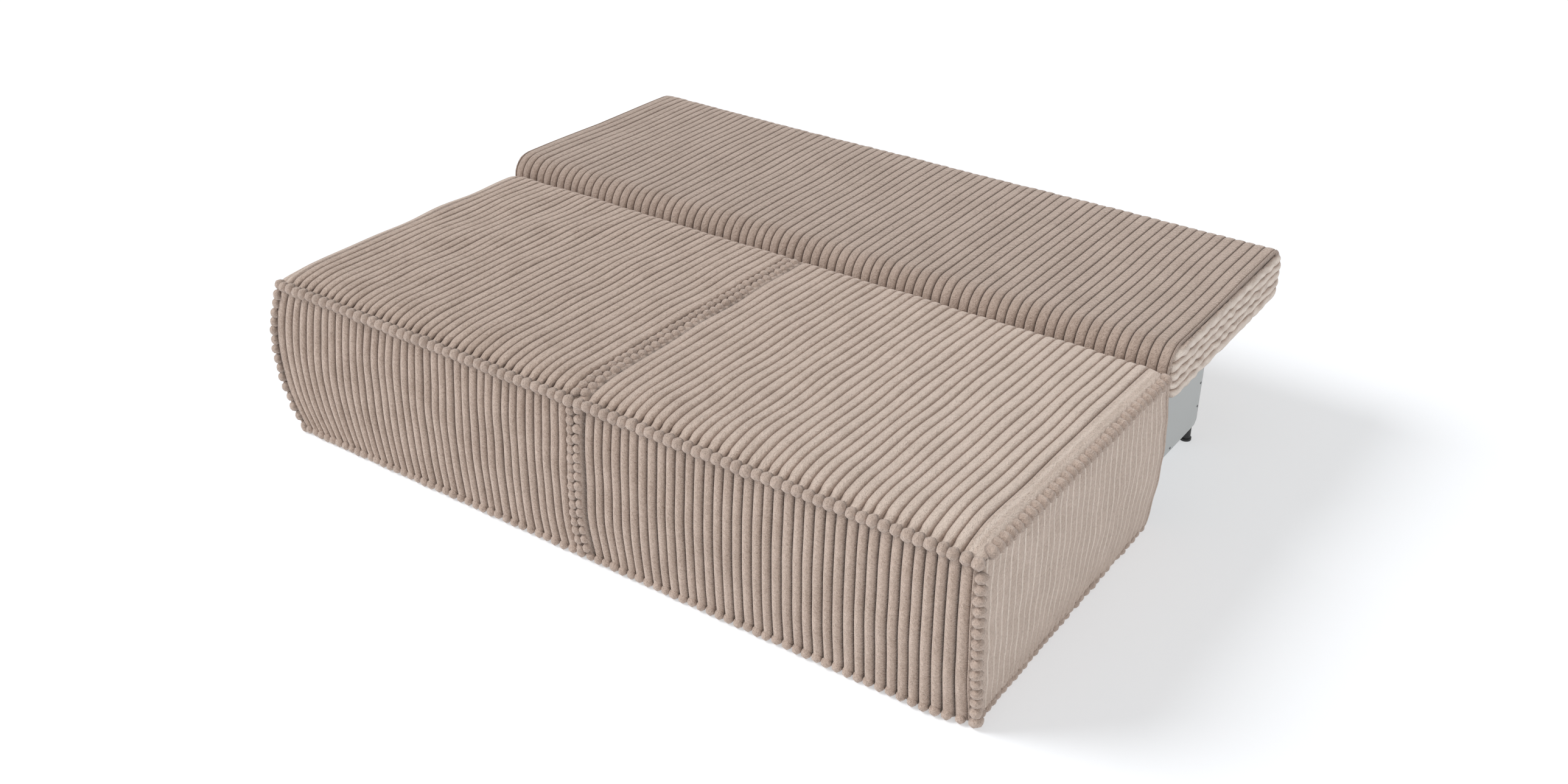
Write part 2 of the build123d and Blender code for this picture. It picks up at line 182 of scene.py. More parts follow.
def build_melamine(name, axis, inner, outer):
    """Melamine faces, and the panel's edge band painted pale as a highlight: between its two faces along one
    axis.
    """
    material, tree, shader = new_material(name, {"Roughness": 0.42, "Coat Weight": 0.12,
                                                 "Coat Roughness": 0.35})
    place = add_node(tree, "ShaderNodeTexCoord")
    axes = add_node(tree, "ShaderNodeSeparateXYZ")
    tree.links.new(place.outputs["Object"], axes.inputs[0])
    depth = add_math(tree, "ABSOLUTE", axes.outputs[axis])
    edge = between(tree, depth, inner + BAND_MARGIN, outer - BAND_MARGIN)
    speck = add_ramp(tree, grain(tree, SPECK_GRAIN, detail=1.0), 0.42, 0.62)
    face = add_mix(tree, speck, linear(MELAMINE), linear(MELAMINE_SPECK))
    tree.links.new(add_mix(tree, edge, face, linear(EDGE_BAND_HIGHLIGHT)), shader.inputs["Base Color"])
    add_bump(tree, shader, grain(tree, COATING_GRAIN), COATING_RELIEF)
    return material


def x_span(name):
    """Distance of a right-hand node's inner and outer face from the middle plane."""
    low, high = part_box(name)
    return low[0], high[0]


box_inner, box_outer = x_span("box_side_right")
paint(build_melamine("melamine_side", 0, box_inner, box_outer), "box_side_left", "box_side_right")
box_low, box_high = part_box("box_floor_panel")
paint(build_melamine("melamine_floor", 2, box_low[2], box_high[2]), "box_floor_panel")
for panel in ("box_front_panel", "box_rear_panel"):
    low, high = (abs(corner[1]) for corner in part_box(panel))
    paint(build_melamine(f"melamine_{panel}", 1, min(low, high), max(low, high)), panel)


# Feet, screws and wheels. Feet and wheels are moulded black plastic, the screw
# heads dark burnished steel pressed a little into the coating.
def build_plain(name, base, worn, scale, roughness, metallic=0.0, relief=0.00008):
    """Finish whose colour and height follow one grain: base where it is low, worn where it is high."""
    material, tree, shader = new_material(name, {"Roughness": roughness, "Metallic": metallic})
    value = grain(tree, scale, detail=3.0)
    share = add_ramp(tree, value, 0.35, 0.68)
    tree.links.new(add_mix(tree, share, linear(base), linear(worn)), shader.inputs["Base Color"])
    add_bump(tree, shader, value, relief)
    return material


black_plastic = build_plain("black_plastic", (30, 30, 31), (44, 44, 45), scale=420.0, roughness=0.46)
screw_steel = build_plain("screw_steel", (96, 97, 100), (122, 122, 124), scale=600.0, roughness=0.4,
                          metallic=0.85)
paint(black_plastic, "box_feet", "wheel_left", "wheel_right")
paint(screw_steel, "panel_screws")


# Slides, swing arms and hinges. Zinc-plated runners, brackets and pins, arms
# and tube in black powder coat, zigzag springs of dark oiled wire and nylon
# glides; screwed to the box and the seat's deck.
zinc_steel = build_plain("zinc_steel", (176, 179, 182), (204, 206, 208), scale=70.0, roughness=0.34,
                         metallic=0.92, relief=0.00003)
black_steel = build_plain("black_steel", (36, 37, 39), (52, 53, 55), scale=900.0, roughness=0.5,
                          relief=0.00012)
spring_steel = build_plain("spring_steel", (96, 97, 99), (136, 136, 138), scale=300.0, roughness=0.36,
                           metallic=0.9, relief=0.00003)
nylon = build_plain("nylon", (226, 226, 220), (236, 236, 232), scale=200.0, roughness=0.4)
SIDES = ("left", "right")
for side in SIDES:
    paint(zinc_steel, f"runner_outer_{side}", f"runner_carriage_{side}", f"runner_inner_{side}",
          f"wheel_fork_{side}", f"wheel_axle_{side}", f"back_hinge_pin_{side}")
    paint(black_steel, f"swing_arm_{side}", f"arm_bearing_{side}", f"back_hinge_plate_{side}")
paint(black_steel, "sync_tube")
paint(spring_steel, "seat_springs")
paint(nylon, "deck_glides")


# Carcass of the seat and frame of the back. Planed softwood rails, raw
# chipboard boards and a plywood board under the back's foam, glued and screwed.
SOFTWOOD = (226, 200, 158)
SOFTWOOD_RING = (196, 160, 112)
PLYWOOD = (222, 196, 154)
PLYWOOD_RING = (190, 156, 112)
CHIPS_PALE = (206, 178, 134)
CHIPS_DARK = (164, 132, 92)
RING_GRAIN = 9.0
RINGS_PER_WAVE = 9.0
PORE_GRAIN = 160.0
PORE_SHARE = 0.35
CHIP_GRAIN = 230.0
DUST_GRAIN = 500.0


def build_timber(name, pale, dark, stretch):
    """Wood: growth rings as a wave bent by noise, drawn out along the piece, and fine pores."""
    material, tree, shader = new_material(name, {"Roughness": 0.62})
    rings = grain(tree, RING_GRAIN, stretch, 4.0)
    wave = add_math(tree, "FRACT", add_math(tree, "MULTIPLY", rings, RINGS_PER_WAVE))
    ridge = add_math(tree, "PINGPONG", wave, 0.5)
    share = add_math(tree, "MULTIPLY", ridge, 2.0, clamp=True)
    pores = add_ramp(tree, grain(tree, PORE_GRAIN, stretch, 2.0), 0.35, 0.75)
    mixed = add_math(tree, "MULTIPLY_ADD", pores, PORE_SHARE,
                     add_math(tree, "MULTIPLY", share, 1 - PORE_SHARE))
    tree.links.new(add_mix(tree, mixed, linear(pale), linear(dark)), shader.inputs["Base Color"])
    add_bump(tree, shader, pores, 0.00015)
    return material


def build_chipboard(name, pale, dark):
    """Pressed chips: cells of random shade mixed with a fine grain."""
    material, tree, shader = new_material(name, {"Roughness": 0.72})
    place = add_node(tree, "ShaderNodeTexCoord")
    cells = add_node(tree, "ShaderNodeTexVoronoi", {"feature": "F1"}, {"Scale": CHIP_GRAIN})
    tree.links.new(place.outputs["Object"], cells.inputs["Vector"])
    share = add_math(tree, "MULTIPLY_ADD", cells.outputs["Color"], 0.7,
                     add_math(tree, "MULTIPLY", grain(tree, DUST_GRAIN), 0.3))
    tree.links.new(add_mix(tree, share, linear(pale), linear(dark)), shader.inputs["Base Color"])
    add_bump(tree, shader, share, 0.0002)
    return material


across_timber = build_timber("timber_across", SOFTWOOD, SOFTWOOD_RING, (0.06, 1, 1))
along_timber = build_timber("timber_along", SOFTWOOD, SOFTWOOD_RING, (1, 0.06, 1))
plywood = build_timber("plywood", PLYWOOD, PLYWOOD_RING, (0.05, 1, 1))
chipboard = build_chipboard("chipboard", CHIPS_PALE, CHIPS_DARK)
paint(across_timber, "deck_front_rail", "deck_rear_rail", "back_front_rail", "back_rear_rail")
paint(along_timber, "deck_centre_rail", "back_centre_rail")
for side in SIDES:
    paint(along_timber, f"deck_side_rail_{side}", f"back_side_rail_{side}")
    paint(chipboard, f"seat_side_board_{side}")
paint(chipboard, "seat_front_board")
paint(plywood, "back_board")


# Seat sides. Foam pads under wide-rib plush corduroy whose cords stand upright,
# close together, between a flat band at each end; stapled under the side boards.
# Cord colours: crest and light are the pile's own mottled tones, the colour of the grooves is painted shade,
# and the highlight colour is a painted highlight for the sheen on the cords' flanks.
CORD_CREST = (172, 150, 135)
CORD_LIGHT = (217, 196, 182)
CORD_GROOVE_SHADE = (62, 45, 37)
CORD_HIGHLIGHT = (255, 242, 230)
SHEEN_TINT = (255, 240, 230)
FOAM_PALE = (232, 224, 196)
FOAM_DARK = (214, 202, 168)
FOAM_CELLS = 900.0
TUFT_GRAIN = 380.0
DENT_GRAIN = 150.0
CLOUD_GRAIN = 14.0
PIT_SHADE_SHARE = 0.16
PILE_RELIEF = 0.0080
BEAD_HEIGHT = 0.400
HEM_HEIGHT = 0.002
SEAT_DEPTH = 0.840
HALF_WIDTH = 1.000
REAR_ROUNDING = 0.040
SIDE_CORDS = 32
SIDE_BAND = 0.021
SIDE_RISE = 0.0036
SIDE_SINK = 0.0018
SIDE_HIGHLIGHT = 1.0
HIGHLIGHT_SHARES = (0.01, 0.03, 0.06, 0.11)
HIGHLIGHT_LEVELS = (0, 1, 1, 0)
SIDE_PAINTED_LIGHT = 0.10
SIDE_ROWS = 58
SIDE_EDGE = 0.022
SIDE_TURN = 0.009
SIDE_WAVE = 0.0020
SIDE_WANDER = 0.0042
GATHER_HEIGHT = 0.055
GATHER_DEPTH = 0.006
GATHER_SHADE = 1.3
LEFT_HEM = -0.044
LEFT_BELLY = 0.030
FRONT_HEM = -0.018
FRONT_BELLY = -0.020
CORNER_DRAW = 0.018
REAR_BULGE = 0.009
LEAN = 0.026
LEAN_HEIGHT = 0.26
BAND_LEVEL = 0.95
BAND_TONE = 0.3
PAD_DEPTH = 0.030
REAR_MARGIN = 0.012
CORD_SHARES = np.array([0.0, 0.03, 0.085, 0.19, 0.34, 0.5, 0.66, 0.81, 0.90, 0.935, 0.97])
board_low, board_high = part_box("seat_front_board")
front_line = board_low[1] - PAD_DEPTH
board_face = board_low[1]
side_face = board_high[0]
carcass_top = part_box("seat_springs")[1][2] + 0.0015


def build_foam():
    """Cut foam: open cells as a fine cell pattern in two pale yellows."""
    material, tree, shader = new_material("foam", {"Roughness": 0.9})
    place = add_node(tree, "ShaderNodeTexCoord")
    cells = add_node(tree, "ShaderNodeTexVoronoi", {"feature": "F1"}, {"Scale": FOAM_CELLS})
    tree.links.new(place.outputs["Object"], cells.inputs["Vector"])
    share = add_ramp(tree, cells.outputs["Distance"], 0.1, 0.6)
    colour = add_mix(tree, share, linear(FOAM_DARK), linear(FOAM_PALE))
    tree.links.new(colour, shader.inputs["Base Color"])
    add_bump(tree, shader, share, 0.0005)
    return material


def build_plush():
    """Colour and height of plush cord.

    The tone attribute picks the colour: 1 in grooves, painted shade, 0 on crests, below 0 a
    painted highlight for the sheen on cord flanks. Tufts, dents and slow clouds of noise mottle
    it, and the lowest tufts are darkened with painted shade. The height is that of the tufts and dents.
    """
    group, given, result = new_group("plush_cord", [
        ("Crest", "NodeSocketColor", (1, 1, 1, 1)), ("Light", "NodeSocketColor", (1, 1, 1, 1)),
        ("Groove", "NodeSocketColor", (0, 0, 0, 1)), ("Highlight", "NodeSocketColor", (1, 1, 1, 1))],
        [("Color", "NodeSocketColor"), ("Height", "NodeSocketFloat")])
    tone = add_node(group, "ShaderNodeAttribute", {"attribute_name": "tone"}).outputs["Fac"]
    tufts = grain(group, TUFT_GRAIN, detail=3.0)
    dents = grain(group, DENT_GRAIN, detail=4.0)
    clouds = grain(group, CLOUD_GRAIN, detail=2.0)
    shares = [add_math(group, "MULTIPLY", add_ramp(group, value, 0.36, 0.64), part)
              for value, part in ((tufts, 0.40), (dents, 0.35), (clouds, 0.25))]
    mottle = add_math(group, "ADD", add_math(group, "ADD", shares[0], shares[1]), shares[2])
    pile = add_mix(group, mottle, given.outputs["Crest"], given.outputs["Light"])
    pit_shade = add_math(group, "MULTIPLY", add_ramp(group, tufts, 0.42, 0.30), PIT_SHADE_SHARE)
    pit_shaded = add_mix(group, pit_shade, pile, given.outputs["Groove"])
    shaded = add_mix(group, add_ramp(group, tone, 0.22, 1.0), pit_shaded, given.outputs["Groove"])
    painted_highlight = add_mix(group, add_ramp(group, tone, 0.0, -1.0), shaded, given.outputs["Highlight"])
    group.links.new(painted_highlight, result.inputs["Color"])
    height = add_math(group, "MULTIPLY_ADD", dents, 0.6, add_math(group, "MULTIPLY", tufts, 0.4))
    group.links.new(height, result.inputs["Height"])
    return group


PLUSH = build_plush()


def build_cord(name, crest, light, groove_shade, relief):
    """Ribbed plush material: the plush group's colour and bump under a velvet sheen."""
    material, tree, shader = new_material(name, {"Roughness": 0.9, "Sheen Weight": 1.0,
                                                 "Sheen Roughness": 0.35, "Specular IOR Level": 0.1,
                                                 "Sheen Tint": linear(SHEEN_TINT)})
    node = add_node(tree, "ShaderNodeGroup", {"node_tree": PLUSH},
                    {"Crest": linear(crest), "Light": linear(light), "Groove": linear(groove_shade),
                     "Highlight": linear(CORD_HIGHLIGHT)})
    tree.links.new(node.outputs["Color"], shader.inputs["Base Color"])
    add_bump(tree, shader, node.outputs["Height"], relief)
    return material


foam = build_foam()
ribbed_cord = build_cord("ribbed_cord", CORD_CREST, CORD_LIGHT, CORD_GROOVE_SHADE, PILE_RELIEF)


def cord_borders(count, first, last, rng, jitter=0.04):
    """Borders of a number of cords between two places, each shifted a little at random."""
    shift = np.concatenate([[0], rng.uniform(-jitter, jitter, count - 1), [0]])
    return first + (last - first) * (np.arange(count + 1) + shift) / count


def lay_cords(borders, width):
    """Samples across a panel: a flat band up to the first border, the cords, a flat band to the width.

    Gives each sample's distance from the panel's start, its share of its cord's width,
    its cord's number, and its distance into a band, which is 0 on a cord.
    """
    count = len(borders) - 1
    cords = (borders[:-1, None] + np.diff(borders)[:, None] * CORD_SHARES).ravel()
    before = np.linspace(0, borders[0], 6)[:-1]
    after = np.linspace(borders[-1], width, 12)
    numbers = np.concatenate([0 * before, np.repeat(np.arange(count), len(CORD_SHARES)), 0 * after])
    return {"places": np.concatenate([before, cords, after]),
            "shares": np.concatenate([0 * before, np.tile(CORD_SHARES, count), 0 * after]),
            "into": np.concatenate([borders[0] - before, 0 * cords, after - borders[-1]]),
            "numbers": numbers.astype(int), "count": count,
            "middles": (borders[:-1] + borders[1:]) / 2}


def quarter(distance, width, power=2.2):
    """Rounded edge: 0 at the edge, 1 from a width inwards, along a superellipse."""
    share = 1 - np.clip(distance / width, 0, 1)
    return (1 - share ** power) ** (1 / power)


def cord_height(layout, narrow=1.0, power=2.2):
    """Section of the cords: the root of 1 - (|2t - 1| / narrow) to a power, and a level band beside."""
    share = np.clip(np.abs(2 * layout["shares"] - 1) / narrow, 0, 1)
    cords = (1 - share ** power) ** 0.5
    bands = BAND_LEVEL * quarter(layout["into"], 0.003)
    return np.where(layout["into"] > 0, bands, cords)


def pile_tone(layout, height, highlight=0.0):
    """Tone of the pile: 1 - height as painted shade in the grooves, a level value on bands, and a painted
    highlight on each cord's first flank.
    """
    flank = np.interp(layout["shares"], HIGHLIGHT_SHARES, HIGHLIGHT_LEVELS)
    tone = np.where(layout["into"] > 0.004, BAND_TONE, 1 - height)
    return tone * (1 - highlight * flank) - highlight * flank


def uneven(layout, rng, low=0.88, high=1.08):
    """One random fullness for each cord, at all of its samples; bands keep 1."""
    factors = rng.uniform(low, high, layout["count"])[layout["numbers"]]
    return np.where(layout["into"] > 0, 1.0, factors)


def grid_normals(points):
    """Unit normals of a grid of points: the cross product of its two gradients, made one long."""
    down = np.gradient(points, axis=0)
    across = np.gradient(points, axis=1)
    normals = np.cross(across, down)
    return normals / np.maximum(np.linalg.norm(normals, axis=2, keepdims=True), 1e-12)


def soft_waves(rows, columns, rng, size, most=5.0, most_down=None):
    """Slow unevenness of a stuffed surface: a sum of six random long sine waves over the grid."""
    v, u = np.meshgrid(np.linspace(0, 1, rows), np.linspace(0, 1, columns), indexing="ij")
    total = np.zeros_like(u)
    for _ in range(6):
        turns = rng.uniform(1.0, (most, most_down or most))
        phase = rng.uniform(0, 2 * math.pi, 2)
        across, down = 2 * math.pi * turns[0] * u + phase[0], 2 * math.pi * turns[1] * v + phase[1]
        total += np.sin(across) * np.sin(down)
    return size * total / 3


def closed_pad(outer, corners):
    """Closed shell of a grid of outer points and a flat back given by four corners, in grid order.

    The back's border points lie along its edges at the share of the count of the
    outer border, a ring of quads joins both borders, and long quads fill the back.
    """
    rows, columns = outer.shape[:2]
    count = rows * columns
    number = np.arange(count).reshape(rows, columns)
    loop = np.concatenate([number[0], number[1:, -1], number[-1, -2::-1], number[-2:0:-1, 0]])
    inner = []
    for side, length in enumerate((columns - 1, rows - 1, columns - 1, rows - 1)):
        start, end = np.array(corners[side]), np.array(corners[(side + 1) % 4])
        share = np.linspace(0, 1, length + 1)[:-1, None]
        inner.append(start + (end - start) * share)
    ring = count + np.arange(len(loop))
    grid = np.stack([number[:-1, :-1], number[:-1, 1:], number[1:, 1:], number[1:, :-1]], axis=-1)
    edge = np.stack([np.roll(loop, -1), loop, ring, np.roll(ring, -1)], axis=-1)
    turn = columns - 1 + rows - 1
    top = ring[:columns]
    bottom = ring[turn:turn + columns][::-1]
    back = np.stack([top[1:-2], bottom[1:-2], bottom[2:-1], top[2:-1]], axis=-1)
    right = ring[columns - 1:turn + 1]
    left = np.append(ring[turn + columns - 1:], ring[0])
    ends = [[top[1], *left[::-1], bottom[1]], [bottom[-2], *right[::-1], top[-2]]]
    points = np.concatenate([outer.reshape(-1, 3), *inner])
    faces = grid.reshape(-1, 4).tolist() + edge.tolist() + back.tolist() + ends
    return points, faces, len(loop) + (rows - 1) * (columns - 1)


def add_piece(name, points, faces, materials, tone, back_from=None):
    """Smooth mesh object turned outwards, with a tone attribute.

    Faces from back_from on are flat and take the second material, where there is one.
    """
    mesh = bpy.data.meshes.new(name)
    mesh.from_pydata(np.asarray(points).tolist(), [], [list(map(int, face)) for face in faces])
    mesh.calc_loop_triangles()
    corners = np.empty(3 * len(mesh.loop_triangles), dtype=np.int32)
    mesh.loop_triangles.foreach_get("vertices", corners)
    a, b, c = (np.asarray(points)[corners.reshape(-1, 3)[:, side]] for side in range(3))
    if np.einsum("ij,ij->i", a, np.cross(b, c)).sum() < 0:
        mesh.flip_normals()
    behind = np.arange(len(mesh.polygons)) >= (len(mesh.polygons) if back_from is None else back_from)
    for material in materials:
        mesh.materials.append(material)
    mesh.polygons.foreach_set("use_smooth", ~behind)
    if len(materials) > 1:
        mesh.polygons.foreach_set("material_index", behind.astype(np.int32))
    values = np.full(len(points), 0.4, dtype=np.float32)
    values[:len(tone)] = tone
    mesh.attributes.new("tone", "FLOAT", "POINT").data.foreach_set("value", values)
    mesh.update()
    piece = bpy.data.objects.new(name, mesh)
    bpy.context.scene.collection.objects.link(piece)
    return piece


def add_cushion(name, body, outer, tone, corners, replaced):
    """Padded piece of ribbed cord over foam: a closed pad that rides on a body in place of CAD nodes."""
    points, faces, back_from = closed_pad(outer, corners)
    piece = add_piece(name, points, faces, [ribbed_cord, foam], tone.ravel(), back_from)
    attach(piece, body)
    if replaced:
        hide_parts(*replaced)


def through_three(z, low, middle, high, share):
    """Offset at height z: the parabola through its values at the hem, a share of the height and the top."""
    t = (z - HEM_HEIGHT) / (BEAD_HEIGHT - HEM_HEIGHT)
    return (low * (t - share) * (t - 1) / share + middle * t * (t - 1) / (share * (share - 1))
            + high * t * (t - share) / (1 - share))


def side_reach(z, y_share, sign):
    """Half width at height z: the right side nearly upright, the left bellied and drawn in at the hem."""
    if sign > 0:
        hem = 0.0065 - 0.021 * y_share + 0.008 * y_share ** 2
        return HALF_WIDTH + through_three(z, hem, 0.003 + 0.007 * y_share, 0.003 * y_share, 0.5)
    return HALF_WIDTH + through_three(z, LEFT_HEM, LEFT_BELLY, 0.0, 0.5)


def front_reach(z, x):
    """Depth of the front behind the bead line at height z: bulged, by a parabola.

    The hem comes forward towards the left and is drawn back at the right corner.
    """
    corner = CORNER_DRAW * np.clip((x - 0.88) / 0.12, 0, 1) ** 2
    hem = FRONT_HEM + 0.012 * x + corner
    return through_three(z, hem, FRONT_BELLY + 0.008 * x + 0.5 * corner, 0.0, 0.45)


def side_lean(z, y_share):
    """Forward bend of the side's cords in their lower part, most between the corners."""
    low = np.clip((LEAN_HEIGHT - z) / LEAN_HEIGHT, 0, 1)
    return LEAN * np.sin(math.pi * np.clip(y_share, 0, 1)) * low ** 1.5


def rear_drop(y):
    """Fall of the seat's top edge near its rear: a quarter circle."""
    past = np.clip(y - (SEAT_DEPTH - REAR_ROUNDING), 0, REAR_ROUNDING)
    return REAR_ROUNDING - np.sqrt(REAR_ROUNDING ** 2 - past ** 2)


def mirrored(points, sign):
    """Right-hand points, or their mirror image for the left."""
    return np.asarray(points) * np.array([sign, 1, 1])


side_layouts = {}


def make_seat_side(side, sign, seed):
    """Side pad: upright cords between the front and rear bands, on the side's curve."""
    rng = np.random.default_rng(seed)
    layout = lay_cords(cord_borders(SIDE_CORDS, SIDE_BAND, SEAT_DEPTH - SIDE_BAND, rng), SEAT_DEPTH)
    side_layouts[side] = layout
    share = layout["places"][None, :] / SEAT_DEPTH
    v = np.linspace(0, 1, SIDE_ROWS)[:, None]
    top = BEAD_HEIGHT - rear_drop(share * SEAT_DEPTH)
    z = HEM_HEIGHT + v * (top - HEM_HEIGHT)
    x = side_reach(z, share, sign)
    front = front_reach(z, sign * HALF_WIDTH) + 0.002
    rear = SEAT_DEPTH + REAR_BULGE * np.sin(math.pi * np.clip(z / 0.33, 0, 1))
    y = front + share * (rear - front) - side_lean(z, share)
    edge = quarter(share * SEAT_DEPTH, SIDE_EDGE) * quarter((1 - share) * SEAT_DEPTH, SIDE_EDGE)
    x = x - SIDE_TURN * (1 - edge)
    height = cord_height(layout, power=5.0)
    ends = quarter(v * BEAD_HEIGHT, 0.010)
    gathered = np.exp(-(z / GATHER_HEIGHT) ** 2) * np.sin(math.pi * share)
    lift = -SIDE_SINK + SIDE_RISE * height * uneven(layout, rng) * (0.3 + 0.7 * ends)
    lift = lift - GATHER_DEPTH * gathered * (1 - height)
    lift = lift + soft_waves(len(v), len(height), rng, SIDE_WAVE)
    y = y + soft_waves(len(v), len(height), rng, SIDE_WANDER, 3.5) * edge * ends * share
    outer = np.stack([x + lift, y + front_line, z], axis=-1)
    # Painted light and shade on the side: the whole side is lightened a little, each cord's first flank gets
    # a painted highlight, and the grooves where the cords gather at the hem get painted shade.
    tone = pile_tone(layout, height, SIDE_HIGHLIGHT) - SIDE_PAINTED_LIGHT + GATHER_SHADE * gathered * (1 - height)
    rear = front_line + SEAT_DEPTH - REAR_MARGIN
    back = [(side_face, board_face, HEM_HEIGHT), (side_face, rear, HEM_HEIGHT),
            (side_face, rear, carcass_top), (side_face, board_face, carcass_top)]
    add_cushion(f"seat_side_{side}", "seat", mirrored(outer, sign), tone, mirrored(back, sign),
                [f"seat_side_cover_{side}", f"seat_side_pad_{side}"])


for side, sign, seed in (("left", -1, 11), ("right", 1, 12)):
    make_seat_side(side, sign, seed)


# Seat fronts. Foam pads under cords that run from the bead line to the floor,
# one under each cord of the top; glued on the front board and tucked under it.
TOP_CORDS = 37
MIDDLE_BAND = 0.026
OUTER_BAND = 0.044
FRONT_BAND = 0.016
FRONT_RISE = 0.0135
FRONT_SINK = 0.0105
FRONT_ROWS = 62
FRONT_WAVE = 0.0016
FRONT_INNER_EDGE = 0.030
FRONT_OUTER_EDGE = 0.024
SEAM_GAP = 0.0003
SEAM_BEND = 0.016
SEAM_BEND_HEIGHT = 0.15
SEAM_BEND_REACH = 0.20
seat_borders = {side: cord_borders(TOP_CORDS, MIDDLE_BAND, HALF_WIDTH - OUTER_BAND,
                                   np.random.default_rng(seed))
                for side, seed in (("left", 13), ("right", 14))}
front_layouts = {side: lay_cords(np.append(borders, HALF_WIDTH - FRONT_BAND), HALF_WIDTH)
                 for side, borders in seat_borders.items()}


def slanted(x, z, y_share, sign):
    """Distance from the middle plane at height z.

    Outer cords lean with the side, by the cube of their share of the width, and the
    cords near the middle seam bend to the right at the floor.
    """
    low = np.clip((SEAM_BEND_HEIGHT - z) / SEAM_BEND_HEIGHT, 0, 1)
    bend = SEAM_BEND * low ** 2 * np.exp(-x / SEAM_BEND_REACH)
    return x - (HALF_WIDTH - side_reach(z, y_share, sign)) * (x / HALF_WIDTH) ** 3 + sign * bend


def make_seat_front(side, sign, seed):
    """Front pad: upright round cords on the bulged front, leaning with the sides."""
    rng = np.random.default_rng(seed)
    layout = front_layouts[side]
    places = layout["places"][None, :]
    v = np.linspace(0, 1, FRONT_ROWS)[:, None]
    z = HEM_HEIGHT + v * (BEAD_HEIGHT - HEM_HEIGHT)
    x = slanted(np.maximum(places, SEAM_GAP), z, 0.0, sign)
    edge_in = quarter(places, FRONT_INNER_EDGE)
    edge_out = quarter(HALF_WIDTH - places, FRONT_OUTER_EDGE)
    y = front_reach(z, sign * x) + 0.006 * (1 - edge_in) + 0.009 * (1 - edge_out)
    ends = quarter(v * BEAD_HEIGHT, 0.014) * quarter((1 - v) * BEAD_HEIGHT, 0.016)
    height = cord_height(layout, 0.86 + 0.10 * ends, 2.0)
    lift = -FRONT_SINK + FRONT_RISE * height * uneven(layout, rng) * (0.35 + 0.65 * ends)
    lift = lift + soft_waves(len(v), places.size, rng, FRONT_WAVE, 3.0)
    outer = np.stack([x, y - lift + front_line, z + 0 * x], axis=-1)
    tone = pile_tone(layout, height)
    back = [(SEAM_GAP, board_face, HEM_HEIGHT), (side_face, board_face, HEM_HEIGHT),
            (side_face, board_face, carcass_top), (SEAM_GAP, board_face, carcass_top)]
    add_cushion(f"seat_front_{side}", "seat", mirrored(outer, sign), tone, mirrored(back, sign),
                [f"seat_front_cover_{side}", f"seat_front_pad_{side}"])


for side, sign, seed in (("left", -1, 21), ("right", 1, 22)):
    make_seat_front(side, sign, seed)


# Seat tops. Two foam cushions side by side on the springs, under round plush
# cords that run from front to back, roll over the front edge and turn down behind.
CROWN = 0.030
FRONT_ROLL = 0.105
SIDE_ROLL = 0.075
MIDDLE_ROLL = 0.055
TOP_RISE = 0.0078
TOP_SINK = 0.0060
ROLL_RISE = 0.0040
ROLL_REACH = 0.07
TOP_PAINTED_LIGHT = 0.36
TOP_WAVE = 0.0026
VALLEY = 0.50
REAR_SINK = 0.22
TURNED_DOWN = 0.024
NECK_PLACE = 0.012
NECK_WIDTH = 0.009
CREASE_PLACES = (0.004, 0.014, 0.020, 0.026, 0.030, 0.034)
CREASE_HIGHLIGHTS = (0, 0.6, 0.2, 0.2, 0.9, 0)
WAVE_FADE = 0.1


def seat_top_height(x, y):
    """Height of the seat over the bead line: its crown times the front roll, side roll and middle valley."""
    forward = quarter(y, FRONT_ROLL, 1.75)
    rearward = 1 - REAR_SINK * np.clip((y - 0.40) / 0.44, 0, 1) ** 2
    outward = quarter(HALF_WIDTH - x, SIDE_ROLL, 2.2)
    inward = VALLEY + (1 - VALLEY) * quarter(x, MIDDLE_ROLL, 2.0)
    return CROWN * forward * rearward * outward * inward


def seat_top_path():
    """Side view of the top's path as depth and turned-down height: finer steps in the roll and turn."""
    roll = FRONT_ROLL * (1 - np.cos(np.linspace(0, math.pi / 2, 20)))
    flat = np.linspace(FRONT_ROLL, SEAT_DEPTH - REAR_ROUNDING, 78)[1:]
    turn = np.linspace(0, math.pi / 2, 9)[1:]
    down = np.linspace(0, TURNED_DOWN, 4)[1:]
    behind = SEAT_DEPTH - REAR_ROUNDING + REAR_ROUNDING * np.sin(turn)
    y = np.concatenate([roll, flat, behind, np.full(len(down), SEAT_DEPTH)])
    fall = np.concatenate([0 * roll, 0 * flat, REAR_ROUNDING * (1 - np.cos(turn)), REAR_ROUNDING + down])
    return y, fall


